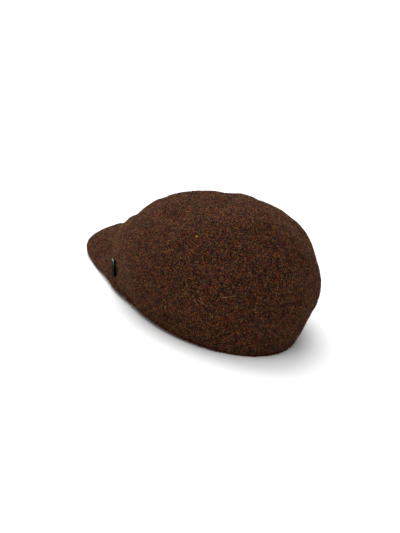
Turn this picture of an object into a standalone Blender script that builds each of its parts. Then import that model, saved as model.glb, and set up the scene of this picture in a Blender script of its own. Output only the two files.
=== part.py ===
"""Duckbill cap in brown tweed: six crown gores, a stiff arched peak, a turned hem and a small metal badge.

The shape is worked out in the frame of the rim, in metres: X to the wearer's left, Y to the back, Z up, and zero at
the rim's centre. An angle turns from the back of the head towards the wearer's left, so the peak lies round pi.
At the end the cap is set down: it tips back until it stands on the back of its hem and on its drooping peak.
"""

import math

import bmesh
import bpy
from mathutils import Matrix, Vector

# Driving sizes
RIM_HALF_LENGTH = 0.102
RIM_HALF_WIDTH = 0.082
CROWN_HEIGHT = 0.110
APEX_BACK = 0.004
FRONT_LIFT = 0.026
FRONT_LIFT_POWER = 1.6
CLOTH = 0.002
GAP = 0.0003
EDGE_GAP = 0.0008
EDGE_ROUND = 0.0003

PEAK_LENGTH = 0.055
PEAK_HALF_ANGLE = math.radians(87)
PEAK_CURL = math.radians(12)
PEAK_THICKNESS = 0.0036
PEAK_END_THICKNESS = 0.25
OVERHANG = 0.024
OVERHANG_POWER = 1.4

HEM_HEIGHT = 0.009
HEM_THICKNESS = 0.0016
HEM_LEAN = 0.0006
HEM_EASING = math.radians(9)
SEAM_DIP = 0.0011
SEAM_HALF_WIDTH = 0.004
MIDDLE_SHARE = 0.3
FLATTENING = 0.0004
BACK_BULGE = math.radians(9)

BADGE_LENGTH = 0.017
BADGE_WIDTH = 0.011
BADGE_THICKNESS = 0.0018
BADGE_ROUND = 0.0005
BADGE_GAP = 0.0009
BADGE_ANGLE = math.radians(111)
BADGE_SHARE = 0.105

# The crown's outline in three upright planes, from the hem to the apex in equal steps: how far out, as a share of
# the rim's half size, and how far up, as a share of the crown's height
OUT, UP = 0, 1
CROWN_OUTLINE = {
    "back": ((1.00, 0.00), (1.01, 0.13), (1.00, 0.35), (0.91, 0.62), (0.69, 0.87), (0.41, 1.02), (0.00, 1.00)),
    "side": ((1.00, 0.00), (1.09, 0.18), (1.15, 0.39), (1.05, 0.61), (0.82, 0.79), (0.44, 0.93), (0.00, 1.00)),
    "front": ((1.22, 0.20), (1.17, 0.27), (0.98, 0.37), (0.75, 0.52), (0.57, 0.74), (0.29, 0.91), (0.00, 1.00)),
}
# The peak from its centre line to its end at the temple, in equal steps of angle: its width as a share of its
# length, and how far it droops from level, in degrees
WIDTH, DROOP = 0, 1
PEAK_OUTLINE = ((0.97, 14), (0.98, 16), (1.01, 22), (0.71, 36), (0.37, 46), (0.19, 52), (0.05, 55))

# Each seam's angle at the hem, and its swing in the crown's upper half, in degrees
SEAMS = {
    "back": (0, 0),
    "left_back": (58, 7),
    "left_front": (120, 0),
    "front": (180, 0),
    "right_front": (240, 0),
    "right_back": (302, -7),
    "back_again": (360, 0),
}
GORES = (
    ("panel_back_left", "back", "left_back"),
    ("panel_side_left", "left_back", "left_front"),
    ("panel_front_left", "left_front", "front"),
    ("panel_front_right", "front", "right_front"),
    ("panel_side_right", "right_front", "right_back"),
    ("panel_back_right", "right_back", "back_again"),
)

# A level is a share of the way from the hem to the apex. The gores have a rolled lower edge, are drawn to it below
# one level, and stop at another, just short of the apex.
EDGE_ROLL = 0.0014
EDGE_SHARE = 1 / 3
EDGE_FADE_POWER = 1.5
HIGHEST_SHARE = 0.995

# Steps over which slopes are measured: in angle, in level and as a share of a width
ANGLE_STEP = 0.05
SHARE_STEP = 0.04
WIDTH_STEP = 0.05

# Mesh fineness
GORE_COLUMNS = 13
GORE_ROWS = 17
PEAK_COLUMNS = 44
PEAK_ROWS = 8
HEM_COLUMNS = 96

TWEED = (0.165, 0.095, 0.060)
TWEED_HEM = (0.24, 0.11, 0.07)
GUNMETAL = (0.10, 0.13, 0.11)


def spline(values, share, beyond):
    """A smooth curve through evenly spaced values, read at a share of its length. beyond follows the last value."""
    points = [2 * values[0] - values[1], *values, beyond]
    steps = len(values) - 1
    place = min(max(share, 0) * steps, steps - 1e-9)
    index = int(place)
    part = place - index
    a, b, c, d = points[index : index + 4]
    curve = (3 * b - a - 3 * c + d) * part**3 + (2 * a - 5 * b + 4 * c - d) * part**2
    return 0.5 * (curve + (c - a) * part + 2 * b)


def rim_point(angle, inset=0.0):
    """The rim's plan at an angle, inset towards the head."""
    x = (RIM_HALF_WIDTH - inset) * math.sin(angle)
    y = (RIM_HALF_LENGTH - inset) * math.cos(angle)
    return Vector((x, y, FRONT_LIFT * max(-math.cos(angle), 0) ** FRONT_LIFT_POWER))


def outward(angle):
    """The level direction square to the rim."""
    square = Vector((RIM_HALF_LENGTH * math.sin(angle), RIM_HALF_WIDTH * math.cos(angle), 0))
    return square.normalized()


def peak_share(angle):
    """0 at the centre of the peak, 1 at its ends and beyond them."""
    return min(abs(math.pi - angle % math.tau) / PEAK_HALF_ANGLE, 1.0)


def peak_column(angle, column):
    values = [row[column] for row in PEAK_OUTLINE]
    return spline(values, peak_share(angle), 2 * values[-1] - values[-2])


def peak_width(angle):
    return PEAK_LENGTH * peak_column(angle, WIDTH)


def peak_droop(angle, reach):
    along = min(max(reach / peak_width(angle), 0), 1) - 0.5
    return math.radians(peak_column(angle, DROOP)) + PEAK_CURL * along


def peak_top(angle, reach):
    """The peak's upper face, a distance out from the rim. Its root, inside the rim, is level."""
    droop = peak_droop(angle, reach) if reach > 0 else 0
    return rim_point(angle) + outward(angle) * reach * math.cos(droop) - Vector((0, 0, reach * math.sin(droop)))


def peak_thickness_share(angle):
    """The peak is thinned towards its ends, where it runs out in the hem."""
    return PEAK_END_THICKNESS + (1 - PEAK_END_THICKNESS) * min(3 * (1 - peak_share(angle)), 1)


def overhang(angle):
    """How far the crown's front edge lies forward on the peak."""
    return OVERHANG * math.cos(peak_share(angle) * math.pi / 2) ** OVERHANG_POWER


def edge_up(angle):
    """The direction in which the crown leaves its edge: square to the peak in front, and upright at the back."""
    lean = peak_droop(angle, overhang(angle)) * min(overhang(angle) / EDGE_ROLL, 1)
    return outward(angle) * math.sin(lean) + Vector((0, 0, math.cos(lean)))


def crown_edge(angle):
    """The crown's lower edge: on the rim at the back and sides, and on top of the peak in front."""
    return peak_top(angle, overhang(angle)) + edge_up(angle) * EDGE_GAP


def outline_mix(angle, level, column):
    """One column of the crown's outline at any angle, mixed from the back, side and front planes."""
    back = max(math.cos(angle), 0) ** 2
    front = max(-math.cos(angle), 0) ** 2
    turn = -1 if column == OUT else 1
    mixed = 0.0
    for plane, beyond, weight in (("back", "front", back), ("side", "side", 1 - back - front), ("front", "back", front)):
        values = [row[column] for row in CROWN_OUTLINE[plane]]
        mixed += weight * spline(values, level, turn * CROWN_OUTLINE[beyond][-2][column])
    return mixed


def outline_point(angle, level):
    out = outline_mix(angle, level, OUT)
    up = outline_mix(angle, level, UP)
    x = out * RIM_HALF_WIDTH * math.sin(angle)
    y = out * RIM_HALF_LENGTH * math.cos(angle) + APEX_BACK * (1 - min(out, 1))
    return Vector((x, y, up * CROWN_HEIGHT))


def crown_point(angle, level):
    """The crown's outer face, drawn to its edge low down."""
    fade = max(1 - level / EDGE_SHARE, 0) ** EDGE_FADE_POWER
    return outline_point(angle, level) + (crown_edge(angle) - outline_point(angle, 0)) * fade


def hem_drop(angle):
    """How far below the crown's edge the hem's fold starts, to pass under the root of the peak."""
    past_end = abs(math.pi - angle % math.tau) - PEAK_HALF_ANGLE
    near = 1 - min(max(past_end / HEM_EASING, 0), 1)
    root = PEAK_THICKNESS * peak_thickness_share(angle) / math.cos(peak_droop(angle, 0))
    return (root + 2 * GAP) * near * near * (3 - 2 * near)


def hem_floor(angle):
    """The lowest line of the hem's fold."""
    return rim_point(angle) - Vector((0, 0, hem_drop(angle) + HEM_THICKNESS))


def peak_underside(angle):
    """The lower corner of the peak's outer edge, square to its upper face."""
    reach = peak_width(angle)
    outer = peak_top(angle, reach)
    inner = peak_top(angle, reach * (1 - WIDTH_STEP))
    left = peak_top(angle - ANGLE_STEP, peak_width(angle - ANGLE_STEP))
    right = peak_top(angle + ANGLE_STEP, peak_width(angle + ANGLE_STEP))
    square = (right - left).cross(outer - inner).normalized()
    square *= math.copysign(PEAK_THICKNESS * peak_thickness_share(angle), square.z)
    return outer - square


def evenly(first, last):
    """Values in even steps from one to another, close enough to find a lowest or furthest point."""
    return [first + (last - first) * step / 120 for step in range(121)]


def peak_angles():
    return evenly(math.pi - PEAK_HALF_ANGLE, math.pi + PEAK_HALF_ANGLE)


def resting_tilt():
    """How far the cap tips back, about the back of its hem, when it stands on its peak."""
    pivot = hem_floor(0)
    corners = [peak_underside(angle) for angle in peak_angles()]
    return max(math.atan2(pivot.z - corner.z, pivot.y - corner.y) for corner in corners)


def rest_matrix():
    """From the rim's frame to the resting cap: tipped back, on the floor, and centred on its own box."""
    pivot = hem_floor(0)
    turn = Matrix.Rotation(-resting_tilt(), 4, "X")
    front = min((turn @ (peak_top(angle, peak_width(angle)) - pivot)).y for angle in peak_angles())
    back = max((turn @ (crown_point(BACK_BULGE, level) - pivot)).y for level in evenly(0, 1))
    middle = (front + back) / 2
    return Matrix.Translation((0, -middle, -FLATTENING)) @ turn @ Matrix.Translation(-pivot)


def clear_scene():
    for thing in list(bpy.data.objects):
        bpy.data.objects.remove(thing, do_unlink=True)


def new_collection(name):
    collection = bpy.data.collections.new(name)
    bpy.context.scene.collection.children.link(collection)
    return collection


def new_material(name, colour, roughness, metallic):
    material = bpy.data.materials.new(name)
    material.use_nodes = True
    shader = material.node_tree.nodes["Principled BSDF"]
    shader.inputs["Base Color"].default_value = (*colour, 1)
    shader.inputs["Roughness"].default_value = roughness
    shader.inputs["Metallic"].default_value = metallic
    return material


def sheet_object(name, columns, rows, place, material, collection):
    """A grid of columns by rows, with each vertex set by place(across, along), both from 0 to 1."""
    mesh = bpy.data.meshes.new(name)
    sheet = bmesh.new()
    bmesh.ops.create_grid(sheet, x_segments=columns, y_segments=rows, size=0.5)
    across = sheet.verts.layers.float.new("across")
    for vertex in sheet.verts:
        vertex[across] = vertex.co.x + 0.5
        vertex.co = REST @ place(vertex.co.x + 0.5, vertex.co.y + 0.5)
    sheet.to_mesh(mesh)
    sheet.free()
    mesh.shade_smooth()
    mesh.materials.append(material)
    made = bpy.data.objects.new(name, mesh)
    collection.objects.link(made)
    return made


def solidify(thing, thickness, offset):
    modifier = thing.modifiers.new("Cloth", "SOLIDIFY")
    modifier.thickness = thickness
    modifier.offset = offset
    modifier.use_even_offset = True
    modifier.use_quality_normals = True
    return modifier


def bevel_edges(thing, width, segments):
    modifier = thing.modifiers.new("Rounded edges", "BEVEL")
    modifier.width = width
    modifier.segments = segments
    modifier.limit_method = "ANGLE"
    modifier.angle_limit = math.radians(50)


def cut_at_floor(thing, floor):
    modifier = thing.modifiers.new("Flattened on the floor", "BOOLEAN")
    modifier.operation = "DIFFERENCE"
    modifier.object = floor


def seam_dip(across, arc, level):
    """The cloth is drawn in beside each seam, but not at the hem."""
    distance = arc * min(across, 1 - across)
    return SEAM_DIP * math.exp(-((distance / SEAM_HALF_WIDTH) ** 2)) * min(2 * level / EDGE_SHARE, 1)


def seam_angle(seam, level):
    """A seam starts at its own angle on the hem and swings to one side in the crown's upper half."""
    start, swing = SEAMS[seam]
    return math.radians(start + swing * math.sin(math.pi * level * level))


def gore_place(first, second):
    """Places a gore between two seams, half a gap short of each. Its first two rows roll its lower edge."""
    middle = Vector((0, APEX_BACK, MIDDLE_SHARE * CROWN_HEIGHT))

    def place(across, along):
        spread = 0.5 - 0.5 * math.cos(math.pi * across)
        row = round(along * GORE_ROWS)
        level = HIGHEST_SHARE * max(row - 1, 0) / (GORE_ROWS - 1)
        start = seam_angle(first, level)
        span = seam_angle(second, level) - start
        angle = start + span * spread
        reach = crown_point(angle, level).xy.length
        angle += GAP / 2 / reach * (1 - 2 * spread)
        if row < 2:
            point = crown_edge(angle) + edge_up(angle) * EDGE_ROLL * row
        else:
            point = crown_point(angle, level)
        inward = (middle - point).normalized()
        return point + inward * seam_dip(spread, reach * span, level)

    return place


def build_crown(material, collection):
    for name, first, second in GORES:
        gore = sheet_object(name, GORE_COLUMNS, GORE_ROWS, gore_place(first, second), material, collection)
        solidify(gore, CLOTH, 1)


def peak_place(across, along):
    """The first row is the inner edge of the root, and the second is on the rim, where the peak starts to droop."""
    angle = math.pi + PEAK_HALF_ANGLE * (1 - 2 * across)
    row = round(along * PEAK_ROWS)
    return peak_top(angle, -CLOTH if row == 0 else peak_width(angle) * (row - 1) / (PEAK_ROWS - 1))


def build_peak(material, collection, floor):
    peak = sheet_object("peak", PEAK_COLUMNS, PEAK_ROWS, peak_place, material, collection)
    shares = peak.vertex_groups.new(name="thickness")
    for index, across in enumerate(peak.data.attributes["across"].data):
        angle = math.pi + PEAK_HALF_ANGLE * (1 - 2 * across.value)
        shares.add([index], peak_thickness_share(angle), "REPLACE")
    modifier = solidify(peak, PEAK_THICKNESS, 1)
    modifier.vertex_group = shares.name
    bevel_edges(peak, EDGE_ROUND, 1)
    cut_at_floor(peak, floor)


def hem_place(across, along):
    """The hem's outer face: down behind the crown, then turned out under the crown's edge."""
    angle = math.tau * across
    wall = CLOTH + 2 * GAP
    profile = ((wall + HEM_LEAN, HEM_HEIGHT), (wall, HEM_HEIGHT / 2), (wall, 0), (GAP, 0))
    inset, rise = profile[round(along * (len(profile) - 1))]
    drop = hem_drop(angle) if rise < HEM_HEIGHT / 2 else 0
    return rim_point(angle, inset) + Vector((0, 0, rise - drop))


def build_hem(material, collection, floor):
    hem = sheet_object("hem_band", HEM_COLUMNS, 3, hem_place, material, collection)
    joined = bmesh.new()
    joined.from_mesh(hem.data)
    bmesh.ops.remove_doubles(joined, verts=joined.verts, dist=1e-6)
    joined.to_mesh(hem.data)
    joined.free()
    solidify(hem, HEM_THICKNESS, -1)
    bevel_edges(hem, EDGE_ROUND, 1)
    cut_at_floor(hem, floor)


def build_badge(material, collection):
    """A bare plate that lies on the left side gore, just above the peak."""
    lower = crown_point(BADGE_ANGLE, BADGE_SHARE - SHARE_STEP)
    upper = crown_point(BADGE_ANGLE, BADGE_SHARE + SHARE_STEP)
    left = crown_point(BADGE_ANGLE - ANGLE_STEP, BADGE_SHARE)
    right = crown_point(BADGE_ANGLE + ANGLE_STEP, BADGE_SHARE)
    up = (upper - lower).normalized()
    face = up.cross(right - left).normalized()
    frame = Matrix((up.cross(face), up, face)).transposed().to_4x4()
    frame.translation = crown_point(BADGE_ANGLE, BADGE_SHARE) + face * (BADGE_THICKNESS / 2 + BADGE_GAP)
    mesh = bpy.data.meshes.new("badge")
    plate = bmesh.new()
    bmesh.ops.create_cube(plate, size=1)
    bmesh.ops.scale(plate, vec=(BADGE_WIDTH, BADGE_LENGTH, BADGE_THICKNESS), verts=plate.verts)
    plate.to_mesh(mesh)
    plate.free()
    mesh.materials.append(material)
    badge = bpy.data.objects.new("badge", mesh)
    badge.matrix_world = REST @ frame
    collection.objects.link(badge)
    bevel_edges(badge, BADGE_ROUND, 2)


def build_floor(collection):
    """The slab that flattens what rests on the floor."""
    span = 4 * (RIM_HALF_LENGTH + PEAK_LENGTH)
    mesh = bpy.data.meshes.new("floor")
    slab = bmesh.new()
    bmesh.ops.create_cube(slab, size=1)
    bmesh.ops.scale(slab, vec=(span, span, CROWN_HEIGHT), verts=slab.verts)
    slab.to_mesh(mesh)
    slab.free()
    floor = bpy.data.objects.new("floor", mesh)
    floor.location = (0, 0, -CROWN_HEIGHT / 2)
    floor.hide_render = True
    floor.display_type = "WIRE"
    collection.objects.link(floor)
    return floor


clear_scene()
REST = rest_matrix()
cap = new_collection("duckbill_cap")
floor = build_floor(new_collection("cutters"))
tweed = new_material("tweed", TWEED, 0.95, 0.0)
build_crown(tweed, cap)
build_peak(tweed, cap, floor)
build_hem(new_material("tweed_hem", TWEED_HEM, 0.95, 0.0), cap, floor)
build_badge(new_material("gunmetal", GUNMETAL, 0.35, 0.9), cap)
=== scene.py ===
import math

import bmesh
import bpy
import numpy as np
from mathutils import Matrix, Vector


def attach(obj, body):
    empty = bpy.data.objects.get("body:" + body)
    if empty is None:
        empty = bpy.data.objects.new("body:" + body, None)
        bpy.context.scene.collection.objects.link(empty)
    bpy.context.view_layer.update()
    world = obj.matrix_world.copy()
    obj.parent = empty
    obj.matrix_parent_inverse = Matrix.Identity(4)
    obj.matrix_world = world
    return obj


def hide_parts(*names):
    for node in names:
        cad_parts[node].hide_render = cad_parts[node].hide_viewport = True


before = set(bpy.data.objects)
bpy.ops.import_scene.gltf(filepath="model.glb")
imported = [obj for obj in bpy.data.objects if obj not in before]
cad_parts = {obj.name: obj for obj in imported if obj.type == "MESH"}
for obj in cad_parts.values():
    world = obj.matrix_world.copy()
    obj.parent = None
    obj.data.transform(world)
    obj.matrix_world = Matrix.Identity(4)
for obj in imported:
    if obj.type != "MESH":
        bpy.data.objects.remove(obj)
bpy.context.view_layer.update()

# The camera looks down on the back of the cap from the wearer's left, turned a little. It is placed in the
# frame of the rim: X to the wearer's left, Y to the back, Z up, zero at the rim's centre. That frame tips
# back a little where the cap stands on its hem and its peak.
TIP_BACK = math.radians(3.242)
RIM_CENTRE = Vector((0, 0.0239, 0.0070))
VIEW_SIDE = math.radians(33)
VIEW_HEIGHT = math.radians(24.7)
VIEW_TURN = math.radians(15.2)
VIEW_DISTANCE = 1.5
PIXELS_A_METRE = 1066
PICTURE_SIZE = (400, 533)
RIM_CENTRE_PIXEL = (208, 300.5)
SENSOR = 36
NEAREST_SEEN = 0.05

rest = Matrix.Translation(RIM_CENTRE) @ Matrix.Rotation(-TIP_BACK, 4, "X")
sideways = math.sin(VIEW_SIDE) * math.cos(VIEW_HEIGHT)
backwards = math.cos(VIEW_SIDE) * math.cos(VIEW_HEIGHT)
towards_camera = rest.to_3x3() @ Vector((sideways, backwards, math.sin(VIEW_HEIGHT)))
level_right = rest.to_3x3() @ Vector((-math.cos(VIEW_SIDE), math.sin(VIEW_SIDE), 0))
picture_up = Matrix.Rotation(VIEW_TURN, 3, towards_camera) @ towards_camera.cross(level_right)
picture_right = picture_up.cross(towards_camera)
right_by = (PICTURE_SIZE[0] / 2 - RIM_CENTRE_PIXEL[0]) / PIXELS_A_METRE
up_by = (RIM_CENTRE_PIXEL[1] - PICTURE_SIZE[1] / 2) / PIXELS_A_METRE
eye = RIM_CENTRE + towards_camera * VIEW_DISTANCE
back = (eye - RIM_CENTRE - picture_right * right_by - picture_up * up_by).normalized()
right = picture_up.cross(back).normalized()
camera_place = Matrix((right, back.cross(right), back)).transposed().to_4x4()
camera_place.translation = eye
camera = bpy.data.objects.new("camera", bpy.data.cameras.new("camera"))
camera.data.sensor_width = SENSOR
camera.data.lens = SENSOR * PIXELS_A_METRE * VIEW_DISTANCE / max(PICTURE_SIZE)
camera.data.clip_start = NEAREST_SEEN
camera.matrix_world = camera_place
bpy.context.collection.objects.link(camera)
bpy.context.scene.camera = camera

# A white studio table under soft light: a wide bank of lamps overhead, a bright backdrop that lights the
# cap's front, away from the camera, a weaker low lamp behind the camera, and a white room that fills the
# shadows.
TABLE_SPAN = 14
TABLE_WHITE = (0.78, 0.78, 0.78)
TABLE_ROUGHNESS = 0.8
ROOM_WHITE = (1.0, 1.0, 1.0)
ROOM_LIGHT = 0.35
# Each lamp: its strength, how wide it looks in degrees, and the direction from the cap in which it stands
LAMPS = {
    "overhead": (2.55, 70, (0.20, -0.16, 0.97)),
    "backdrop": (4.3, 80, (0.04, -0.86, 0.50)),
    "low_fill": (1.02, 50, (0.38, 0.92, 0.02)),
}


def principled(name, colour, roughness, **sockets):
    """A material with the numbers that are the same all over it on its shader's own sockets."""
    material = bpy.data.materials.new(name)
    material.use_nodes = True
    shader = material.node_tree.nodes["Principled BSDF"]
    shader.inputs["Base Color"].default_value = (*colour, 1)
    shader.inputs["Roughness"].default_value = roughness
    for socket, value in sockets.items():
        shader.inputs[socket.replace("_", " ")].default_value = value
    return material


table_shape = bmesh.new()
bmesh.ops.create_grid(table_shape, x_segments=1, y_segments=1, size=TABLE_SPAN / 2)
table = bpy.data.objects.new("table", bpy.data.meshes.new("table"))
table_shape.to_mesh(table.data)
table_shape.free()
table.data.materials.append(principled("table_white", TABLE_WHITE, TABLE_ROUGHNESS))
bpy.context.collection.objects.link(table)
for name, (strength, width, stands) in LAMPS.items():
    lamp = bpy.data.objects.new(name, bpy.data.lights.new(name, "SUN"))
    lamp.data.energy = strength
    lamp.data.angle = math.radians(width)
    lamp.rotation_euler = (-Vector(stands)).to_track_quat("-Z", "Y").to_euler()
    bpy.context.collection.objects.link(lamp)
room = bpy.data.worlds.new("room")
room.use_nodes = True
walls = room.node_tree.nodes["Background"]
walls.inputs["Color"].default_value = (*ROOM_WHITE, 1)
walls.inputs["Strength"].default_value = ROOM_LIGHT
bpy.context.scene.world = room
bpy.context.scene.view_settings.view_transform = "Standard"

# The crown: six gores of wool tweed, cut with the grain up and down, sewn edge to edge and pressed open, so
# that each seam lies in a shallow valley. The lower edge is folded under. In front it is drawn forward over
# the root of the peak.
RIM_HALF_LENGTH = 0.102
RIM_HALF_WIDTH = 0.082
CROWN_HEIGHT = 0.110
APEX_BACK = 0.004
FRONT_LIFT = 0.026
FRONT_LIFT_POWER = 1.6
CLOTH = 0.002
PEAK_LENGTH = 0.055
PEAK_HALF_ANGLE = math.radians(87)
PEAK_CURL = math.radians(12)
OVERHANG = 0.024
OVERHANG_POWER = 1.4
EDGE_GAP = 0.0007
EDGE_SHARE = 1 / 3
EDGE_FADE_POWER = 1.5
EDGE_ROLL = 0.0014
EDGE_EASING = 0.006
FOLD_ROWS = 6
HIGHEST_SHARE = 0.9992
SEAM_GAP = 0.00001
# Vertices closer than this are made one
SAME_POINT = 0.000001
# Each irregular pattern has a seed of its own
SEEDS = {"slack": 1, "rumple": 2, "slubs": 3, "pucker": 5, "cover": 7, "knobs": 11, "mottle": 31}
# How the cloth lies: a depth and a reach, in metres, for what the seams, the hand and the yarn do to it
SEAM_VALLEY = (0.0008, 0.0040)
SEAM_CREASE = (0.0007, 0.0009)
SEAM_PUCKER = (0.00022, 0.0070)
SLACK = (0.0006, 0.045)
RUMPLE = (0.00022, 0.016)
SLUBS = (0.00007, 0.0032)
# The slubs are made of this many waves. The puckers are waves of this length, and start this far from a seam.
SLUB_WAVES = 30
PUCKER_LENGTH = 0.009
PUCKER_START = 0.0015
# The folds and the valleys set in over these heights above the edge. The valleys and the creases deepen
# over these shares of the crown, down from its apex. The last three are the shares that they start from.
FOLDS_SET_IN = 0.012
VALLEYS_SET_IN = 0.02
VALLEY_APEX_SHARE = 0.12
CREASE_APEX_SHARE = 0.45
VALLEY_AT_EDGE = 0.2
VALLEY_AT_APEX = 0.3
CREASE_AT_APEX = 0.1
GORE_COLUMNS = 72
GORE_ROWS = 124
# How much closer the rows stand at a gore's lower edge and at the peak's outer edge: 1 for even rows
ROWS_TO_EDGE = 1.2
# The crown's outline in three upright planes, from the hem to the apex in equal steps: how far out, as a
# share of the rim's half size, and how far up, as a share of the crown's height
OUT, UP = 0, 1
CROWN_OUTLINE = {
    "back": ((1, 0), (1.01, 0.13), (1, 0.35), (0.91, 0.62), (0.69, 0.87), (0.41, 1.02), (0, 1)),
    "side": ((1, 0), (1.09, 0.18), (1.15, 0.39), (1.05, 0.61), (0.82, 0.79), (0.44, 0.93), (0, 1)),
    "front": ((1.22, 0.20), (1.17, 0.27), (0.98, 0.37), (0.75, 0.52), (0.57, 0.74), (0.29, 0.91), (0, 1)),
}
# The peak from its centre line to its end at the temple, in equal steps of angle: its width as a share of
# its length, and how far it droops from level, in degrees
WIDTH, DROOP = 0, 1
PEAK_OUTLINE = (
    (0.970, 15.0),
    (0.955, 14.5),
    (1.045, 20.5),
    (0.685, 36.8),
    (0.352, 43.0),
    (0.190, 53.0),
    (0.000, 48.0),
)
# Each seam's angle at the hem, and its swing in the crown's upper half, in degrees
SEAMS = {
    "back": (0, 0),
    "left_back": (58, 7),
    "left_front": (120, 0),
    "front": (180, 0),
    "right_front": (240, 0),
    "right_back": (302, -7),
    "back_again": (360, 0),
}
GORES = (
    ("panel_back_left", "back", "left_back"),
    ("panel_side_left", "left_back", "left_front"),
    ("panel_front_left", "left_front", "front"),
    ("panel_front_right", "front", "right_front"),
    ("panel_side_right", "right_front", "right_back"),
    ("panel_back_right", "right_back", "back_again"),
)
# Soft folds: the angle in degrees and the level where each starts, those where it ends, how deep it is
# (less than nothing for a ridge), and how far it reaches to each side, in metres
FOLDS = (
    (122, 0.580, 84, 0.660, 0.0026, 0.0060),
    (134, 0.470, 108, 0.520, 0.0017, 0.0085),
    (148, 0.655, 112, 0.640, 0.0013, 0.0070),
    (150, 0.455, 120, 0.468, 0.0008, 0.0035),
    (146, 0.415, 114, 0.425, -0.0009, 0.0035),
    (112, 0.020, 178, 0.030, -0.0045, 0.0030),
    (106, 0.130, 166, 0.150, 0.0009, 0.0050),
    (108, 0.050, 109, 0.150, 0.0012, 0.0050),
    (220, 0.900, 262, 0.740, 0.0020, 0.0140),
    (222, 0.880, 266, 0.800, 0.0022, 0.0200),
    (146, 0.800, 170, 0.880, -0.0008, 0.0140),
    (236, 0.530, 262, 0.600, 0.0014, 0.0050),
    (205, 0.300, 238, 0.330, 0.0012, 0.0060),
    (150, 0.340, 118, 0.300, 0.0008, 0.0060),
)
# A fold is measured at this many points. It starts at a tenth of its rise and fall, and ends at nothing.
FOLD_POINTS = 25
FOLD_START = 0.1
FOLD_FULLNESS = 0.7


def spline(values, share, beyond):
    """A smooth curve through evenly spaced values, read at shares of its length, that heads for beyond."""
    points = np.array([2 * values[0] - values[1], *values, beyond])
    place = np.clip(share, 0, 1) * (len(values) - 1)
    index = np.minimum(place.astype(int), len(values) - 2)
    part = place - index
    a, b, c, d = (points[index + step] for step in range(4))
    curve = (3 * b - a - 3 * c + d) * part**3 + (2 * a - 5 * b + 4 * c - d) * part**2
    return 0.5 * (curve + (c - a) * part + 2 * b)


def joined(x, y, z):
    """Points, or directions, from three coordinates."""
    return np.stack(np.broadcast_arrays(x, y, z), -1)


def unit(vectors):
    """The same directions with a length of one."""
    return vectors / np.linalg.norm(vectors, axis=-1, keepdims=True)


def rim_point(angle, inset=0.0):
    """The rim at an angle from its back towards the wearer's left, inset towards its middle."""
    lift = FRONT_LIFT * np.maximum(-np.cos(angle), 0) ** FRONT_LIFT_POWER
    x = (RIM_HALF_WIDTH - inset) * np.sin(angle)
    y = (RIM_HALF_LENGTH - inset) * np.cos(angle)
    return joined(x, y, lift)


def outward(angle):
    """The level direction square to the rim."""
    return unit(joined(RIM_HALF_LENGTH * np.sin(angle), RIM_HALF_WIDTH * np.cos(angle), 0))


def peak_share(angle):
    """0 at the centre of the peak, 1 at its ends and beyond them."""
    return np.minimum(np.abs(math.pi - angle % math.tau) / PEAK_HALF_ANGLE, 1)


def peak_column(angle, column):
    """One column of the peak's outline at any angle."""
    values = [row[column] for row in PEAK_OUTLINE]
    return spline(values, peak_share(angle), 2 * values[-1] - values[-2])


def peak_top(angle, reach):
    """The peak's upper face, a distance out from the rim. Its root, inside the rim, is level."""
    along = np.clip(reach / (PEAK_LENGTH * peak_column(angle, WIDTH)), 0, 1) - 0.5
    droop = np.where(reach > 0, np.radians(peak_column(angle, DROOP)) + PEAK_CURL * along, 0)
    level = outward(angle) * (reach * np.cos(droop))[..., None]
    return rim_point(angle) + level - joined(0, 0, reach * np.sin(droop))


def overhang(angle):
    """How far the crown's front edge lies forward on the peak."""
    return OVERHANG * np.cos(peak_share(angle) * math.pi / 2) ** OVERHANG_POWER


def outline_mix(angle, level, column):
    """One column of the crown's outline at any angle, mixed from the back, side and front planes."""
    rear = np.maximum(np.cos(angle), 0) ** 2
    fore = np.maximum(-np.cos(angle), 0) ** 2
    planes = (("back", "front", rear), ("side", "side", 1 - rear - fore), ("front", "back", fore))
    turn = -1 if column == OUT else 1
    mixed = 0.0
    for plane, past_apex, weight in planes:
        values = [row[column] for row in CROWN_OUTLINE[plane]]
        mixed = mixed + weight * spline(values, level, turn * CROWN_OUTLINE[past_apex][-2][column])
    return mixed


def outline_point(angle, level):
    """The crown's outer face by its outline alone."""
    out = outline_mix(angle, level, OUT)
    x = out * RIM_HALF_WIDTH * np.sin(angle)
    y = out * RIM_HALF_LENGTH * np.cos(angle) + APEX_BACK * (1 - np.minimum(out, 1))
    return joined(x, y, outline_mix(angle, level, UP) * CROWN_HEIGHT)


def crown_point(angle, level):
    """The crown's outer face, with its lower part drawn to its edge on the rim or the peak."""
    fade = np.maximum(1 - level / EDGE_SHARE, 0) ** EDGE_FADE_POWER
    edge = peak_top(angle, overhang(angle)) + joined(0, 0, EDGE_GAP)
    return outline_point(angle, level) + (edge - outline_point(angle, 0 * level)) * fade[..., None]


def seam_angle(seam, level):
    """The angle of a seam at a level."""
    start, swing = SEAMS[seam]
    return np.radians(start + swing * np.sin(math.pi * level * level))


def facing(points):
    """The direction square to a grid of points whose columns run to the right and whose rows climb."""
    return unit(np.cross(np.gradient(points, axis=1), np.gradient(points, axis=0)))


def steps_along(points, axis):
    """How far each point of a grid lies from the first one, along its row or column."""
    steps = np.linalg.norm(np.diff(points, axis=axis), axis=-1)
    first = np.zeros_like(np.take(steps, [0], axis=axis))
    return np.cumsum(np.concatenate((first, steps), axis=axis), axis=axis)


def waves(points, length, seed, count=18):
    """A smooth, irregular height between about -1 and 1, made of waves that run in all directions."""
    chance = np.random.default_rng(seed)
    total = 0.0
    for _ in range(count):
        heading = unit(chance.normal(size=3)) / (length * chance.uniform(0.7, 1.4))
        total = total + np.sin(math.tau * (points @ heading + chance.random()))
    return total / math.sqrt(count)


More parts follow.
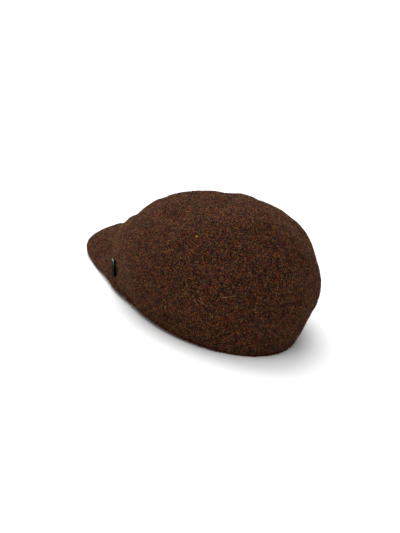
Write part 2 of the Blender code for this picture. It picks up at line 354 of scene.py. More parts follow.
def fold_depth(points):
    """How far the soft folds press the cloth in."""
    depth = 0.0
    for first_angle, first_level, last_angle, last_level, deep, wide in FOLDS:
        share = np.linspace(0, 1, FOLD_POINTS)
        angle = np.radians(first_angle + (last_angle - first_angle) * share)
        line = crown_point(angle, first_level + (last_level - first_level) * share)
        gaps = np.linalg.norm(points[..., None, :] - line, axis=-1)
        nearest = gaps.argmin(-1)
        rise = share[nearest] * (1 - FOLD_START) + FOLD_START
        fade = np.sin(math.pi * np.clip(rise, 0, 1)) ** FOLD_FULLNESS
        depth = depth + deep * fade * np.exp(-((gaps.min(-1) / wide) ** 2))
    return depth


def in_world(points):
    """Points of the rim's frame in the model's frame, none of them under the surface that it stands on."""
    placed = points @ np.array(rest.to_3x3()).T + np.array(rest.translation)
    placed[..., 2] = np.maximum(placed[..., 2], 0)
    return placed


def finished_piece(name, shape, material):
    """Turns a bmesh into a piece with its faces outward and its place in its mesh."""
    bmesh.ops.remove_doubles(shape, verts=shape.verts, dist=SAME_POINT)
    bmesh.ops.recalc_face_normals(shape, faces=shape.faces)
    mesh = bpy.data.meshes.new(name)
    shape.to_mesh(mesh)
    shape.free()
    mesh.materials.append(material)
    mesh.shade_smooth()
    made = bpy.data.objects.new(name, mesh)
    bpy.context.collection.objects.link(made)
    return made


def counted_grid(columns, rows):
    """A flat grid whose vertices stand at whole numbers of columns and rows."""
    shape = bmesh.new()
    bmesh.ops.create_grid(shape, x_segments=columns, y_segments=rows, size=0.5)
    bmesh.ops.translate(shape, vec=(0.5, 0.5, 0), verts=shape.verts)
    bmesh.ops.scale(shape, vec=(columns, rows, 1), verts=shape.verts)
    return shape


def lay_out(shape, faces, cloth_map):
    """Moves each vertex of a counted grid to its point of a face, and keeps a UV map in metres of cloth."""
    uv = shape.loops.layers.uv.new("Cloth")
    for vertex in shape.verts:
        column, row, side = (round(part) for part in vertex.co)
        vertex.co = faces[side][row, column]
        flat = cloth_map[row, column]
        for loop in vertex.link_loops:
            loop[uv].uv = flat


def cloth_shell(name, outer, inner, cloth_map, material):
    """A closed piece of cloth between two grids of points in the rim's frame."""
    shape = counted_grid(outer.shape[1] - 1, outer.shape[0] - 1)
    bmesh.ops.solidify(shape, geom=shape.faces[:], thickness=1)
    heights = sorted({round(vertex.co.z) for vertex in shape.verts})
    lay_out(shape, {heights[1]: in_world(outer), heights[0]: in_world(inner)}, cloth_map)
    return finished_piece(name, shape, material)


def cloth_ring(name, points, cloth_map, material):
    """A closed ring of cloth through the points of its section, which run all round it."""
    shape = counted_grid(points.shape[1] - 1, points.shape[0] - 1)
    lay_out(shape, {0: in_world(points)}, cloth_map)
    return finished_piece(name, shape, material)


def node(tree, kind, inputs=None, **settings):
    """Adds a node with its settings, and sets or links its inputs."""
    made = tree.nodes.new(kind)
    for name, value in settings.items():
        setattr(made, name, value)
    for name, value in (inputs or {}).items():
        if isinstance(value, bpy.types.NodeSocket):
            tree.links.new(value, made.inputs[name])
        else:
            made.inputs[name].default_value = value
    return made


def ramp(tree, factor, stops, mode="LINEAR"):
    """A colour ramp with stops of (place, colour)."""
    made = node(tree, "ShaderNodeValToRGB", {0: factor})
    made.color_ramp.interpolation = mode
    while len(made.color_ramp.elements) < len(stops):
        made.color_ramp.elements.new(0.5)
    for element, (place, colour) in zip(made.color_ramp.elements, stops):
        element.position = place
        element.color = (*colour, 1)
    return made.outputs["Color"]


# Wool hardly shines, but its loose hairs catch some light where it turns away
WOOL_ROUGHNESS = 0.95
WOOL_SHINE = {
    "Specular_IOR_Level": 0.04,
    "Sheen_Weight": 0.07,
    "Sheen_Roughness": 0.30,
    "Sheen_Tint": (1.0, 0.58, 0.35, 1),
}
# A fine hair lets light through
HAIR_GLOW = {"Subsurface_Weight": 0.07, "Subsurface_Scale": 0.001, "Subsurface_Radius": (1.0, 0.7, 0.5)}
# How many tufts, hairs over them, lumps of felt and clouds there are to a metre of cloth, roughly
TUFTS = 1450
HAIRS = 2300
FELT_LUMPS = 900
CLOUDS = 95
# How often to a metre, and how far in metres, the tufts stray to and fro from their places
STRAYINGS = 420
STRAYS_BY = 0.0018
# How much of the colour comes from the hairs
HAIR_SHARE = 0.26
# The darkest and the lightest tuft and cloud, as shares of the yarn's own colour, and the noise between
# which the clouds go from one to the other
TUFT_SHADES = (0.03, 1.47)
CLOUD_SHADES = (0.78, 1.22)
CLOUD_NOISE = (0.25, 0.75)
FELT_STRENGTH = 0.6
FELT_DEPTH = 0.0005


def scaled(tree, vector, factor):
    """A vector or colour times a number or a node's value."""
    return node(tree, "ShaderNodeVectorMath", {0: vector, "Scale": factor}, operation="SCALE").outputs[0]


def noise(tree, vector, scale, detail, output="Fac"):
    """One output of a noise texture."""
    texture = node(tree, "ShaderNodeTexNoise", {"Vector": vector, "Scale": scale, "Detail": detail})
    return texture.outputs[output]


def cells(tree, vector, scale):
    """Cells with a random colour each: the texture, and the three channels of its colour."""
    texture = node(tree, "ShaderNodeTexVoronoi", {"Vector": vector, "Scale": scale})
    return texture, node(tree, "ShaderNodeSeparateColor", {0: texture.outputs["Color"]}).outputs


def ranged(tree, value, lowest, highest, first=0, last=1):
    """A value between first and last, moved to between lowest and highest."""
    return node(tree, "ShaderNodeMapRange", {0: value, 1: first, 2: last, 3: lowest, 4: highest}).outputs[0]


def tweed(name, yarns):
    """Wool tweed: yarns of several dyed fibres that show as flecks under a millimetre long, felted."""
    material = principled(name, yarns[0][1], WOOL_ROUGHNESS, **WOOL_SHINE)
    tree = material.node_tree
    shader = tree.nodes["Principled BSDF"]
    place = node(tree, "ShaderNodeTexCoord").outputs["Object"]
    stray = noise(tree, place, STRAYINGS, 1, "Color")
    middle = (0.5, 0.5, 0.5)
    centred = node(tree, "ShaderNodeVectorMath", {0: stray, 1: middle}, operation="SUBTRACT").outputs[0]
    shift = scaled(tree, centred, STRAYS_BY)
    bent = node(tree, "ShaderNodeVectorMath", {0: place, 1: shift}, operation="ADD").outputs[0]
    tufts, tuft = cells(tree, bent, TUFTS)
    hair = cells(tree, bent, HAIRS)[1]
    dyed = ramp(tree, tuft[0], yarns, "CONSTANT")
    dyed_hair = ramp(tree, hair[1], yarns, "CONSTANT")
    spun = node(tree, "ShaderNodeMix", {0: HAIR_SHARE, 6: dyed, 7: dyed_hair}, data_type="RGBA").outputs[2]
    shade = ranged(tree, noise(tree, place, CLOUDS, 3), *CLOUD_SHADES, *CLOUD_NOISE)
    lightness = ranged(tree, tuft[2], *TUFT_SHADES)
    both = node(tree, "ShaderNodeMath", {0: shade, 1: lightness}, operation="MULTIPLY").outputs[0]
    tree.links.new(scaled(tree, spun, both), shader.inputs["Base Color"])
    heights = {0: noise(tree, bent, FELT_LUMPS, 2), 1: tufts.outputs["Distance"]}
    height = node(tree, "ShaderNodeMath", heights, operation="ADD").outputs[0]
    relief = {"Strength": FELT_STRENGTH, "Distance": FELT_DEPTH, "Height": height}
    tree.links.new(node(tree, "ShaderNodeBump", relief).outputs[0], shader.inputs["Normal"])
    return material


# Dyed yarns of the tweed: the share of the cloth at which each begins, and its colour
TWEED_YARNS = (
    (0.00, (0.0042, 0.0032, 0.0034)),
    (0.20, (0.0120, 0.0056, 0.0050)),
    (0.38, (0.0310, 0.0122, 0.0074)),
    (0.54, (0.1700, 0.0180, 0.0070)),
    (0.65, (0.1900, 0.0560, 0.0090)),
    (0.74, (0.0230, 0.0330, 0.0130)),
    (0.85, (0.0095, 0.0155, 0.0440)),
    (0.94, (0.1800, 0.1100, 0.0220)),
)
crown_tweed = tweed("crown_tweed", TWEED_YARNS)

# Faces of cloth that carry fibres: (points, outward directions, where the fibres grow), in the rim's frame.
# None grow on a gore's outermost columns, pressed flat along its seams, or near the fold of its front edge.
hairy_faces = []
BARE_COLUMNS = 3
BARE_ROWS = FOLD_ROWS + 5


def edge_up(angle):
    """The direction in which the crown leaves its edge: square to the peak, upright where there is none."""
    lean = np.radians(peak_column(angle, DROOP)) * np.minimum(overhang(angle) / EDGE_ROLL, 1)
    return outward(angle) * np.sin(lean)[..., None] + joined(0, 0, np.cos(lean))


def fold_over(middle, square, radius):
    """Both faces of a sheet from its middle, with rows for the rounded edge before its first row."""
    along = unit(middle[1] - middle[0])
    turn = np.linspace(0, math.pi / 2, FOLD_ROWS, endpoint=False)[:, None, None]
    edge = middle[0] - along * radius * np.cos(turn)
    aside = square[0] * radius * np.sin(turn)
    front = np.concatenate((edge + aside, middle + square * radius))
    behind = np.concatenate((edge - aside, middle - square * radius))
    return front, behind


def with_fold_rows(values):
    """Values of a grid, with its first row repeated for the rows that round its edge."""
    return np.concatenate((np.repeat(values[:1], FOLD_ROWS, axis=0), values))


def slubs(points):
    """The small unevenness of the yarn."""
    return SLUBS[0] * waves(points, SLUBS[1], SEEDS["slubs"], SLUB_WAVES)


def measured_map(face):
    """A UV map in metres, measured on the face from the foot of its middle column."""
    half = face.shape[1] // 2
    across = steps_along(face, 1)
    along = steps_along(face, 0)[:, half, None]
    return np.stack(np.broadcast_arrays(across - across[:, half, None], along), -1)


def gore_grid(first, second):
    """The angle and level of each point of a gore, closer together along its seams and its lower edge."""
    across = 0.5 - 0.5 * np.cos(math.pi * np.linspace(0, 1, GORE_COLUMNS + 1))
    level = HIGHEST_SHARE * np.linspace(0, 1, GORE_ROWS + 1) ** ROWS_TO_EDGE
    across, level = np.meshgrid(across, level)
    start = seam_angle(second, level)
    angle = start + (seam_angle(first, level) - start) * across
    reach = np.linalg.norm(crown_point(angle, level)[..., :2], axis=-1)
    return angle + SEAM_GAP / 2 / reach * (2 * across - 1), level


def gore_faces(angle, level):
    """A gore's outer and inner face, with its seams, its folds and its edge folded under."""
    base = crown_point(angle, level)
    high = steps_along(base, 0)
    wide = steps_along(base, 1)
    to_seam = np.minimum(wide, wide[:, -1:] - wide)
    middle = base - facing(base) * CLOTH / 2
    foot = angle[:1]
    edge_middle = peak_top(foot, overhang(foot) - CLOTH / 2) + edge_up(foot) * (CLOTH / 2 + EDGE_GAP)
    middle = middle + (edge_middle - middle[0]) * np.exp(-((high / EDGE_EASING) ** 2))[..., None]
    square = facing(middle)
    settle = np.clip(high / FOLDS_SET_IN, 0, 1)
    flatter = np.clip(high / VALLEYS_SET_IN, VALLEY_AT_EDGE, 1)
    flatter = flatter * np.clip((1 - level) / VALLEY_APEX_SHARE, VALLEY_AT_APEX, 1)
    valley = SEAM_VALLEY[0] * np.exp(-((to_seam / SEAM_VALLEY[1]) ** 2)) * flatter
    slack = SLACK[0] * waves(base, SLACK[1], SEEDS["slack"])
    slack = slack + RUMPLE[0] * waves(base, RUMPLE[1], SEEDS["rumple"])
    middle = middle + square * ((slack - fold_depth(base)) * settle - valley)[..., None]
    outer, inner = fold_over(middle, square, CLOTH / 2)
    to_seam = with_fold_rows(to_seam)
    shallower = with_fold_rows(np.clip((1 - level) / CREASE_APEX_SHARE, CREASE_AT_APEX, 1))
    crease = SEAM_CREASE[0] * np.exp(-((to_seam / SEAM_CREASE[1]) ** 2)) * shallower
    beside = np.exp(-((to_seam / SEAM_PUCKER[1]) ** 2)) * (1 - np.exp(-((to_seam / PUCKER_START) ** 2)))
    pucker = SEAM_PUCKER[0] * beside * waves(outer, PUCKER_LENGTH, SEEDS["pucker"])
    relief = pucker + slubs(outer) - crease
    relief[0] = 0
    return outer + facing(outer) * relief[..., None], inner


for name, first, second in GORES:
    angle, level = gore_grid(first, second)
    outer, inner = gore_faces(angle, level)
    cloth_map = measured_map(outer)
    gore = cloth_shell("tweed_" + name, outer, inner, cloth_map, crown_tweed)
    grows = np.ones(outer.shape[:2])
    grows[:, :BARE_COLUMNS] = 0
    grows[:, -BARE_COLUMNS:] = 0
    grows[:BARE_ROWS] *= overhang(angle[:1]) < EDGE_ROLL
    hairy_faces.append((outer, facing(outer), grows))
    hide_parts(name)
    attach(gore, "root")

# The peak: a duck's bill of board, covered above and below in the same tweed, which is drawn round its
# edge. It is held between the crown and the hem along its root, and thins towards its ends at the temples.
PEAK_THICKNESS = 0.0036
PEAK_END_SHARE = 0.25
PEAK_THINS_OVER = 1 / 3
PEAK_ROOT = 0.002
PEAK_BEND = 0.007
PEAK_COLUMNS = 260
PEAK_ROWS = 56
# How uneven the cover is: a depth and a reach, in metres
PEAK_COVER = (0.00025, 0.014)
# Apart from the peak's own edge, no fibres grow on it under the crown's front edge, nor this far past that
PEAK_BARE = 0.0018


def peak_thickness(angle):
    """The board and its covers together, thinner over the last part of the peak towards each end."""
    full = np.minimum((1 - peak_share(angle)) / PEAK_THINS_OVER, 1)
    return PEAK_THICKNESS * (PEAK_END_SHARE + (1 - PEAK_END_SHARE) * full)


def peak_square(angle, reach):
    """The direction square to the board, which bends down smoothly from its level root."""
    bend = np.clip(reach / PEAK_BEND, 0, 1)
    along = np.clip(reach / (PEAK_LENGTH * peak_column(angle, WIDTH)), 0, 1) - 0.5
    droop = (np.radians(peak_column(angle, DROOP)) + PEAK_CURL * along) * bend * bend * (3 - 2 * bend)
    return outward(angle) * np.sin(droop)[..., None] + joined(0, 0, np.cos(droop))


def peak_faces():
    """The peak's upper and lower face, row by row from its outer edge to its root."""
    angle = math.pi + PEAK_HALF_ANGLE * np.linspace(1, -1, PEAK_COLUMNS + 1)
    share = np.linspace(0, 1, PEAK_ROWS + 1) ** ROWS_TO_EDGE
    angle, share = np.meshgrid(angle, share)
    half = peak_thickness(angle) / 2
    outermost = PEAK_LENGTH * peak_column(angle, WIDTH) - half
    reach = outermost - (outermost + PEAK_ROOT) * share
    square = peak_square(angle, reach)
    middle = peak_top(angle, reach) - square * half[..., None]
    upper, lower = fold_over(middle, square, half[0, :, None])
    relief = PEAK_COVER[0] * waves(upper, PEAK_COVER[1], SEEDS["cover"]) + slubs(upper)
    onset = np.clip(np.arange(len(upper)) / FOLD_ROWS, 0, 1)[:, None]
    past_crown = reach > overhang(angle) + PEAK_BARE
    grows = np.concatenate((np.ones((FOLD_ROWS, PEAK_COLUMNS + 1)), past_crown))
    return upper + facing(upper) * (relief * onset)[..., None], lower, grows


upper, lower, grows = peak_faces()
peak = cloth_shell("tweed_peak", upper, lower, measured_map(upper), crown_tweed)
hairy_faces.append((upper, facing(upper), grows))
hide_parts("peak")
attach(peak, "root")

# The hem: the tweed turned in behind the rim and sewn to the gores, under the root of the peak in front.
# Its fold shows under the crown's edge as a thin, knobbly lip, redder from its own yarns and lighter partly
# as painted light, standing in for light bounced up under the rim.
HEM_HEIGHT = 0.009
HEM_THICKNESS = 0.0012
HEM_LEAN = 0.0006
HEM_WALL = 0.0026
HEM_EASING = math.radians(9)
HEM_LIP = 0.0001
HEM_UNDER_PEAK = 0.0006
# How uneven the lip is: a depth and a reach in metres, how many waves make it, and how far the knobs go
# down, as a share of how far they go out
HEM_KNOBS = (0.00045, 0.0026)
KNOB_WAVES = 24
KNOB_DOWN = 0.5
HEM_COLUMNS = 720
# The hem's yarns; the lighter ones that show on the lip are partly painted light
HEM_YARNS = (
    (0.00, (0.0050, 0.0035, 0.0040)),
    (0.22, (0.0200, 0.0080, 0.0050)),
    (0.44, (0.0550, 0.0150, 0.0060)),
    (0.64, (0.1700, 0.0260, 0.0070)),
    (0.82, (0.0400, 0.0280, 0.0090)),
    (0.89, (0.2400, 0.0750, 0.0160)),
)
hem_tweed = tweed("hem_tweed", HEM_YARNS)


def hem_drop(angle):
    """How far below the crown's edge the hem's fold starts, to pass under the root of the peak."""
    past_end = np.abs(math.pi - angle % math.tau) - PEAK_HALF_ANGLE
    near = 1 - np.clip(past_end / HEM_EASING, 0, 1)
    root = peak_thickness(angle) / np.cos(np.radians(peak_column(angle, DROOP)))
    return (root + HEM_UNDER_PEAK) * near * near * (3 - 2 * near)


def arc(inset, rise, radius, first, last, steps):
    """Points of an arc in the hem's section, as insets from the rim and rises above it."""
    turn = np.radians(np.linspace(first, last, steps))
    return np.stack((inset + radius * np.cos(turn), rise + radius * np.sin(turn)), -1)


def hem_section():
    """The hem's section: round the lip, under it, up the inside, over the top and down the outside."""
    half = HEM_THICKNESS / 2
    lip = arc(HEM_LIP + half, -half, half, 90, 270, 9)
    corner = arc(HEM_WALL, 0, HEM_THICKNESS, 270, 360, 5)
    top = arc(HEM_WALL + half + HEM_LEAN, HEM_HEIGHT, half, 0, 180, 6)
    inside = [(HEM_WALL + HEM_THICKNESS, HEM_HEIGHT / 2)]
    outside = [(HEM_WALL, HEM_HEIGHT / 2), (HEM_WALL, 0)]
    return np.concatenate((lip, corner, inside, top, outside, lip[:1])), len(lip)


section, lip_rows = hem_section()
around = np.linspace(0, math.tau, HEM_COLUMNS + 1)
angle = np.broadcast_to(around, (len(section), len(around)))
inset, rise = section[:, :1], section[:, 1:]
dropped = hem_drop(angle) * np.clip(1 - 2 * rise / HEM_HEIGHT, 0, 1)
ring = rim_point(angle, inset) + joined(0, 0, rise - dropped)
knobs = HEM_KNOBS[0] * waves(ring[0], HEM_KNOBS[1], SEEDS["knobs"], KNOB_WAVES)
on_lip = np.zeros((len(section), 1))
on_lip[1 : lip_rows - 1] = np.sin(math.pi * np.linspace(0, 1, lip_rows)[1:-1, None])
ring = ring + (outward(angle) - joined(0, 0, KNOB_DOWN)) * (knobs * on_lip)[..., None]
hem_map = np.stack((angle * RIM_HALF_LENGTH, steps_along(ring, 0)), -1)
hem = cloth_ring("tweed_hem_band", ring, hem_map, hem_tweed)
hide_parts("hem_band")
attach(hem, "root")

# The nap: wool fibres of the dyed yarns that stand out of the felted cloth, most of them short and lying
# nearly flat, a few longer and curled. The folded lip of the hem is more ragged, with orange fibres.
FIBRE_SUNK = 0.0001
# A fibre's three corners, as angles round it, how much it thins before its tip, and how far it arches over.
# Its rise varies between two shares of its kind's rise, and its swing aside by a share of its length.
FIBRE_CORNERS = (0.5, 2.6, 4.7)
FIBRE_TAPER = 0.6
FIBRE_ARCH = 2.2
FIBRE_RISES = (0.2, 1.6)
FIBRE_SWING = 0.22
# How much lighter a fibre's tip is than its root, of the whole range of lightness, and how far along it the
# yarn's own lightness is. This is painted light on the tips and painted shade at the roots.
PAINTED_LIGHT_ROOT_TO_TIP = 0.80
OWN_LIGHTNESS_AT = 0.35
# The darkest fibre and the lightest tuft, loose hair and fibre of the lip, as shares of their yarn's colour.
# The lip's fibres go lightest partly as painted light, standing in for light bounced up under the rim.
FIBRE_DARKEST = 0.06
TUFT_LIGHTEST = 1.50
HAIR_LIGHTEST = 2.70
LIP_LIGHTEST = 2.80
# How much the dye varies from place to place, and over what length in metres
MOTTLE = (0.07, 0.009)
# Each kind of fibre: how many, the steps along each, its radius, its shortest and longest length, and its
# rise as a share of that. Short tufts and fibres are each dyed like one of the yarns of their cloth.
SHORT_NAP = {
    "nap_tufts": (42000, 1, 0.00027, 0.0007, 0.0012, 0.46),
    "nap_crossed": (40000, 1, 0.00018, 0.0009, 0.0019, 0.34),
    "nap_fine": (24000, 1, 0.00011, 0.0012, 0.0026, 0.34),
}
LIP_NAP = (2600, 3, 0.00007, 0.0008, 0.0022, 0.50)
CURLED_NAP = (2600, 5, 0.00006, 0.0030, 0.0080, 0.16)
CURLED_WOOL = ((0.090, 0.038, 0.012), (0.320, 0.180, 0.060))
# Single golden fibres that stray over the cloth of the left side: the angle and level where each starts and
# where it ends
STRAYS = (
    (34.5, 0.375, 32.5, 0.425),
    (31.5, 0.405, 25.5, 0.430),
    (33.0, 0.420, 29.5, 0.400),
    (44.5, 0.350, 38.5, 0.325),
    (43.0, 0.370, 40.0, 0.335),
    (47.0, 0.345, 41.5, 0.340),
    (21.5, 0.085, 19.5, 0.110),
)
STRAY_LIFT = 0.0004
# The steps along each, its radius and its rise
STRAY_SHAPE = (6, 0.00016, 0.12)
STRAY_WOOL = ((0.200, 0.105, 0.030), (0.420, 0.250, 0.085))
# The one bright yellow fleck, spun into the yarn of the left side
FLECK_ANGLE = math.radians(59)
FLECK_LEVEL = 0.65
FLECK_SPREAD = 0.0005
FLECK_FIBRES = 14
FLECK_LENGTHS = (0.0008, 0.0014)
FLECK_SHAPE = (1, 0.00022, 0.25)
FLECK_WOOL = ((0.450, 0.260, 0.010), (0.650, 0.450, 0.040))
# The surface of the curled and stray fibres and of the fleck, how many spots of dye there are to a metre of
# them, and the noise between which a spot goes from the darker to the lighter colour
LOOSE_ROUGHNESS = 0.9
LOOSE_GLOSS = 0.1
DYE_SPOTS = 500
DYE_NOISE = (0.35, 0.65)
# The seeds of the curled fibres, the lip's and the strays and fleck. The short kinds have 0, 1 and 2.
CURLED_SEED, LIP_SEED, STRAY_SEED = 10, 20, 21


def strewn(faces, count, chance):
    """Points spread evenly over grids of points, with the direction square to each and one along it."""
    corner = np.concatenate([points[:-1, :-1].reshape(-1, 3) for points, square, grows in faces])
    beside = np.concatenate([points[:-1, 1:].reshape(-1, 3) for points, square, grows in faces]) - corner
    above = np.concatenate([points[1:, :-1].reshape(-1, 3) for points, square, grows in faces]) - corner
    grows = np.concatenate([grows[:-1, :-1].ravel() for points, square, grows in faces])
    square = np.concatenate([square[:-1, :-1].reshape(-1, 3) for points, square, grows in faces])
    area = np.linalg.norm(np.cross(beside, above), axis=-1) * grows
    picked = chance.choice(len(area), count, p=area / area.sum())
    share = chance.random((2, count, 1))
    points = corner[picked] + beside[picked] * share[0] + above[picked] * share[1]
    square = square[picked]
    turn = chance.uniform(0, math.tau, (count, 1))
    level = unit(np.cross(square, above[picked]))
    return points, square, level * np.cos(turn) + np.cross(square, level) * np.sin(turn)


def yarn_wool(name, yarns, lightest):
    """Wool whose fibres have one yarn's colour each, picked across their UV map, and lighten up it: painted
    shade at each root and painted light towards each tip.
    """
    wool = principled(name, yarns[0][1], WOOL_ROUGHNESS, **WOOL_SHINE, **HAIR_GLOW)
    tree = wool.node_tree
    yarn_map = node(tree, "ShaderNodeUVMap", uv_map="Yarn").outputs["UV"]
    picked = node(tree, "ShaderNodeSeparateXYZ", {0: yarn_map}).outputs
    dyed = ramp(tree, picked["X"], yarns, "CONSTANT")
    shades = {0: picked["Y"], 3: FIBRE_DARKEST, 4: lightest}
    lightness = node(tree, "ShaderNodeMapRange", shades, clamp=False).outputs[0]
    tree.links.new(scaled(tree, dyed, lightness), tree.nodes["Principled BSDF"].inputs["Base Color"])
    return wool


def dyed_wool(name, darkest, lightest):
    """Wool whose dye varies between two colours from spot to spot."""
    wool = principled(name, lightest, LOOSE_ROUGHNESS, Specular_IOR_Level=LOOSE_GLOSS)
    tree = wool.node_tree
    place = node(tree, "ShaderNodeTexCoord").outputs["Object"]
    dye = noise(tree, place, DYE_SPOTS, 1)
    colour = ramp(tree, dye, ((DYE_NOISE[0], darkest), (DYE_NOISE[1], lightest)))
    tree.links.new(colour, tree.nodes["Principled BSDF"].inputs["Base Color"])
    return wool


def fibre_piece(name, wool, bends, radius, rise, root, square, run, chance):
    """Fibres as thin closed spikes of three sides, bent in steps along their run, joined in one mesh."""
    count = len(root)
    length = np.linalg.norm(run, axis=-1, keepdims=True)
    climb = length * rise * chance.uniform(*FIBRE_RISES, (count, 1))
    swing = length * chance.normal(0, FIBRE_SWING, (count, 1))
    sideways = unit(np.cross(square, run))
    rings = []
    for share in np.linspace(0, 1, bends + 1)[:-1]:
        middle = root + run * share + square * (climb * math.sin(share * FIBRE_ARCH) - FIBRE_SUNK)
        middle = middle + sideways * swing * share * share
        for turn in FIBRE_CORNERS:
            spread = radius * (1 - FIBRE_TAPER * share)
            rings.append(middle + (square * math.cos(turn) + sideways * math.sin(turn)) * spread)
    tip = root + run + square * climb * math.sin(FIBRE_ARCH) + sideways * swing
    points = in_world(np.stack((*rings, tip), 1))
    last = 3 * bends
    sides = [(last - 3, last - 2, last), (last - 2, last - 1, last), (last - 1, last - 3, last), (0, 2, 1)]
    for start in range(0, last - 3, 3):
        for first, second in ((0, 1), (1, 2), (2, 0)):
            sides.append((start + first, start + second, start + second + 3))
            sides.append((start + first, start + second + 3, start + first + 3))
    corners = np.array(sides) + (np.arange(count) * (last + 1))[:, None, None]
    mesh = bpy.data.meshes.new(name)
    mesh.from_pydata(points.reshape(-1, 3).tolist(), [], corners.reshape(-1, 3).tolist())
    yarn = chance.random((count, 2))
    yarn[:, 1] += MOTTLE[0] * waves(root, MOTTLE[1], SEEDS["mottle"])
    yarn = np.repeat(yarn, 3 * len(sides), axis=0)
    along = np.tile(np.array(sides).ravel() // 3 / bends, count)
    # Painted shade at each fibre's root and painted light towards its tip, put into its lightness
    yarn[:, 1] = np.maximum(yarn[:, 1] + PAINTED_LIGHT_ROOT_TO_TIP * (along - OWN_LIGHTNESS_AT), 0)
    mesh.uv_layers.new(name="Yarn").data.foreach_set("uv", yarn.ravel())
    mesh.materials.append(wool)
    fibres = bpy.data.objects.new(name, mesh)
    bpy.context.collection.objects.link(fibres)
    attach(fibres, "root")
    return fibres


def strewn_fibres(name, wool, kind, faces, seed):
    """A piece of fibres of one kind, spread over grids of points."""
    count, bends, radius, shortest, longest, rise = kind
    chance = np.random.default_rng(seed)
    root, square, heading = strewn(faces, count, chance)
    run = heading * chance.uniform(shortest, longest, (count, 1))
    return fibre_piece(name, wool, bends, radius, rise, root, square, run, chance)


def on_cloth(angle, level):
    """The nearest points of the finished cloth, and the directions square to it."""
    near = crown_point(angle, level)
    points = np.concatenate([points.reshape(-1, 3) for points, square, grows in hairy_faces])
    square = np.concatenate([square.reshape(-1, 3) for points, square, grows in hairy_faces])
    found = [np.linalg.norm(points - place, axis=-1).argmin() for place in near]
    return points[found], square[found]


tuft_wool = yarn_wool("tuft_wool", TWEED_YARNS, TUFT_LIGHTEST)
hair_wool = yarn_wool("hair_wool", TWEED_YARNS, HAIR_LIGHTEST)
for seed, (name, kind) in enumerate(SHORT_NAP.items()):
    wool = hair_wool if name == "nap_fine" else tuft_wool
    strewn_fibres(name, wool, kind, hairy_faces, seed)
curled_wool = dyed_wool("curled_wool", *CURLED_WOOL)
strewn_fibres("nap_curled", curled_wool, CURLED_NAP, hairy_faces, CURLED_SEED)
lip = ring[1 : lip_rows - 1]
lip_face = (lip, -facing(lip), np.ones(lip.shape[:2]))
lip_wool = yarn_wool("lip_wool", HEM_YARNS, LIP_LIGHTEST)
strewn_fibres("nap_of_lip", lip_wool, LIP_NAP, [lip_face], LIP_SEED)

strays = np.array(STRAYS)
root, square = on_cloth(np.radians(strays[:, 0]), strays[:, 1])
run = on_cloth(np.radians(strays[:, 2]), strays[:, 3])[0] - root
chance = np.random.default_rng(STRAY_SEED)
golden = dyed_wool("golden_wool", *STRAY_WOOL)
stray = fibre_piece("nap_stray", golden, *STRAY_SHAPE, root + square * STRAY_LIFT, square, run, chance)
root, square = on_cloth(np.full(FLECK_FIBRES, FLECK_ANGLE), np.full(FLECK_FIBRES, FLECK_LEVEL))
root = root + np.cross(square, chance.normal(0, FLECK_SPREAD, root.shape))
run = unit(np.cross(square, chance.normal(size=root.shape)))
run = run * chance.uniform(*FLECK_LENGTHS, (FLECK_FIBRES, 1))
yellow = dyed_wool("yellow_wool", *FLECK_WOOL)
fleck = fibre_piece("nap_fleck", yellow, *FLECK_SHAPE, root, square, run, chance)

# The badge: a small bare plate of dark green metal with a raised border, held by its pins to the left side
# gore. Its colour holds painted light: darker towards its lower end and near black on its sides as painted
# shade, paler towards its upper end, with a painted highlight along its upper rim.
BADGE_LENGTH = 0.0158
BADGE_WIDTH = 0.0080
BADGE_THICKNESS = 0.0022
BADGE_CORNER = 0.0008
BADGE_ROUND = 0.00035
BADGE_BORDER = 0.0010
BADGE_SUNK = 0.0003
BADGE_GAP = 0.0005
BADGE_ANGLE = math.radians(111)
BADGE_SHARE = 0.105
BADGE_LEAN = math.radians(-5.5)
BADGE_TURN = math.radians(1)
# The crown is looked at this far to each side of the badge, in radians and in level, to find how it lies
NEAR_BY = 0.05
# A face of the plate that looks up this much belongs to its front and has the front's colours; every other
# face takes the darkest colour as painted shade
FRONT_SLOPE = 0.3
METAL_GREEN = (0.012, 0.03, 0.02)
METAL_ROUGHNESS = 0.3
METAL_SHINE = {"Metallic": 0.9, "Specular_Tint": (0.18, 0.24, 0.16, 1)}
# How many spots of patina there are to a metre, and how far they move the colours, by share of its length
PATINA_SPOTS = 380
PATINA_SHIFT = 0.06
# How many strokes of the brush there are to a metre in X, Y and Z, how rough they leave it and how deep
BRUSH_STROKES = (900, 900, 5000)
STROKE_ROUGHNESS = (0.25, 0.5)
STROKE_STRENGTH = 0.25
STROKE_DEPTH = 0.0001
# The plate's colours from its lower end to its upper rim, by share of its length: darker below as painted
# shade, with the first, near-black stop also on the sides, and paler above as painted light, up to a painted
# highlight on the rim
GREEN_WITH_PAINTED_LIGHT_STOPS = (
    (0.00, (0.001, 0.002, 0.0015)),
    (0.03, (0.007, 0.020, 0.009)),
    (0.60, (0.013, 0.032, 0.014)),
    (0.86, (0.065, 0.100, 0.060)),
    (0.97, (0.090, 0.120, 0.080)),
    (0.99, (0.420, 0.450, 0.380)),
)

dark_green = principled("dark_green_metal", METAL_GREEN, METAL_ROUGHNESS, **METAL_SHINE)
tree = dark_green.node_tree
shader = tree.nodes["Principled BSDF"]
place = node(tree, "ShaderNodeTexCoord").outputs["Object"]
plate_map = node(tree, "ShaderNodeUVMap", uv_map="Plate").outputs["UV"]
height = node(tree, "ShaderNodeSeparateXYZ", {0: plate_map}).outputs["Y"]
spread = ranged(tree, noise(tree, place, PATINA_SPOTS, 3), -PATINA_SHIFT, PATINA_SHIFT)
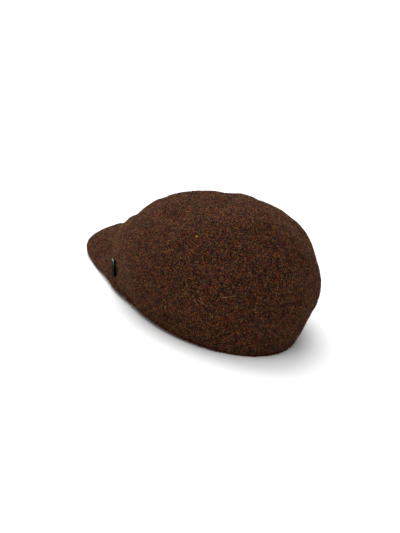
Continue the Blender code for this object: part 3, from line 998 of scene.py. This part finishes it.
# Painted shade low on the plate and painted light high on it, with a painted highlight on the upper rim
painted_light_place = node(tree, "ShaderNodeMath", {0: height, 1: spread}, operation="ADD").outputs[0]
tree.links.new(ramp(tree, painted_light_place, GREEN_WITH_PAINTED_LIGHT_STOPS), shader.inputs["Base Color"])
brushed = node(tree, "ShaderNodeMapping", {"Vector": place, "Scale": BRUSH_STROKES}).outputs[0]
strokes = noise(tree, brushed, 1, 2)
tree.links.new(ranged(tree, strokes, *STROKE_ROUGHNESS), shader.inputs["Roughness"])
brushing = {"Strength": STROKE_STRENGTH, "Distance": STROKE_DEPTH, "Height": strokes}
tree.links.new(node(tree, "ShaderNodeBump", brushing).outputs[0], shader.inputs["Normal"])


def on_crown(angle, level):
    """One point of the crown's outer face."""
    return Vector(crown_point(np.array([angle]), np.array([level]))[0])


def rounded(plate, upright, radius, segments):
    """Rounds the edges of a plate that run through its thickness, or all the others."""
    edges = []
    for edge in plate.edges:
        climb = abs(edge.verts[0].co.z - edge.verts[1].co.z)
        if (climb > BADGE_THICKNESS / 2) == upright:
            edges.append(edge)
    options = {"segments": segments, "profile": 0.5, "affect": "EDGES", "material": -1}
    bmesh.ops.bevel(plate, geom=edges, offset=radius, **options)


plate = bmesh.new()
bmesh.ops.create_cube(plate, size=1)
bmesh.ops.scale(plate, vec=(BADGE_WIDTH, BADGE_LENGTH, BADGE_THICKNESS), verts=plate.verts)
rounded(plate, True, BADGE_CORNER, 6)
rounded(plate, False, BADGE_ROUND, 3)
front = max(plate.faces, key=lambda face: face.calc_center_median().z)
bmesh.ops.inset_region(plate, faces=[front], thickness=BADGE_BORDER)
bmesh.ops.inset_region(plate, faces=[front], thickness=BADGE_SUNK, depth=-BADGE_SUNK)
uv = plate.loops.layers.uv.new("Plate")
for side in plate.faces:
    in_front = side.normal.z > FRONT_SLOPE
    for corner in side.loops:
        # Faces that are not the front get the first, near-black colour as painted shade
        height = corner.vert.co.y / BADGE_LENGTH + 0.5 if in_front else 0
        corner[uv].uv = (corner.vert.co.x / BADGE_WIDTH + 0.5, height)
up = on_crown(BADGE_ANGLE, BADGE_SHARE + NEAR_BY) - on_crown(BADGE_ANGLE, BADGE_SHARE - NEAR_BY)
up.normalize()
leftward = on_crown(BADGE_ANGLE + NEAR_BY, BADGE_SHARE) - on_crown(BADGE_ANGLE - NEAR_BY, BADGE_SHARE)
face = up.cross(leftward).normalized()
badge_place = Matrix((up.cross(face), up, face)).transposed().to_4x4()
badge_place.translation = on_crown(BADGE_ANGLE, BADGE_SHARE) + face * (BADGE_THICKNESS / 2 + BADGE_GAP)
tilt = Matrix.Rotation(BADGE_LEAN, 4, "X") @ Matrix.Rotation(BADGE_TURN, 4, "Y")
bmesh.ops.transform(plate, matrix=rest @ badge_place @ tilt, verts=plate.verts)
badge = finished_piece("badge_plate", plate, dark_green)
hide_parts("badge")
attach(badge, "root")
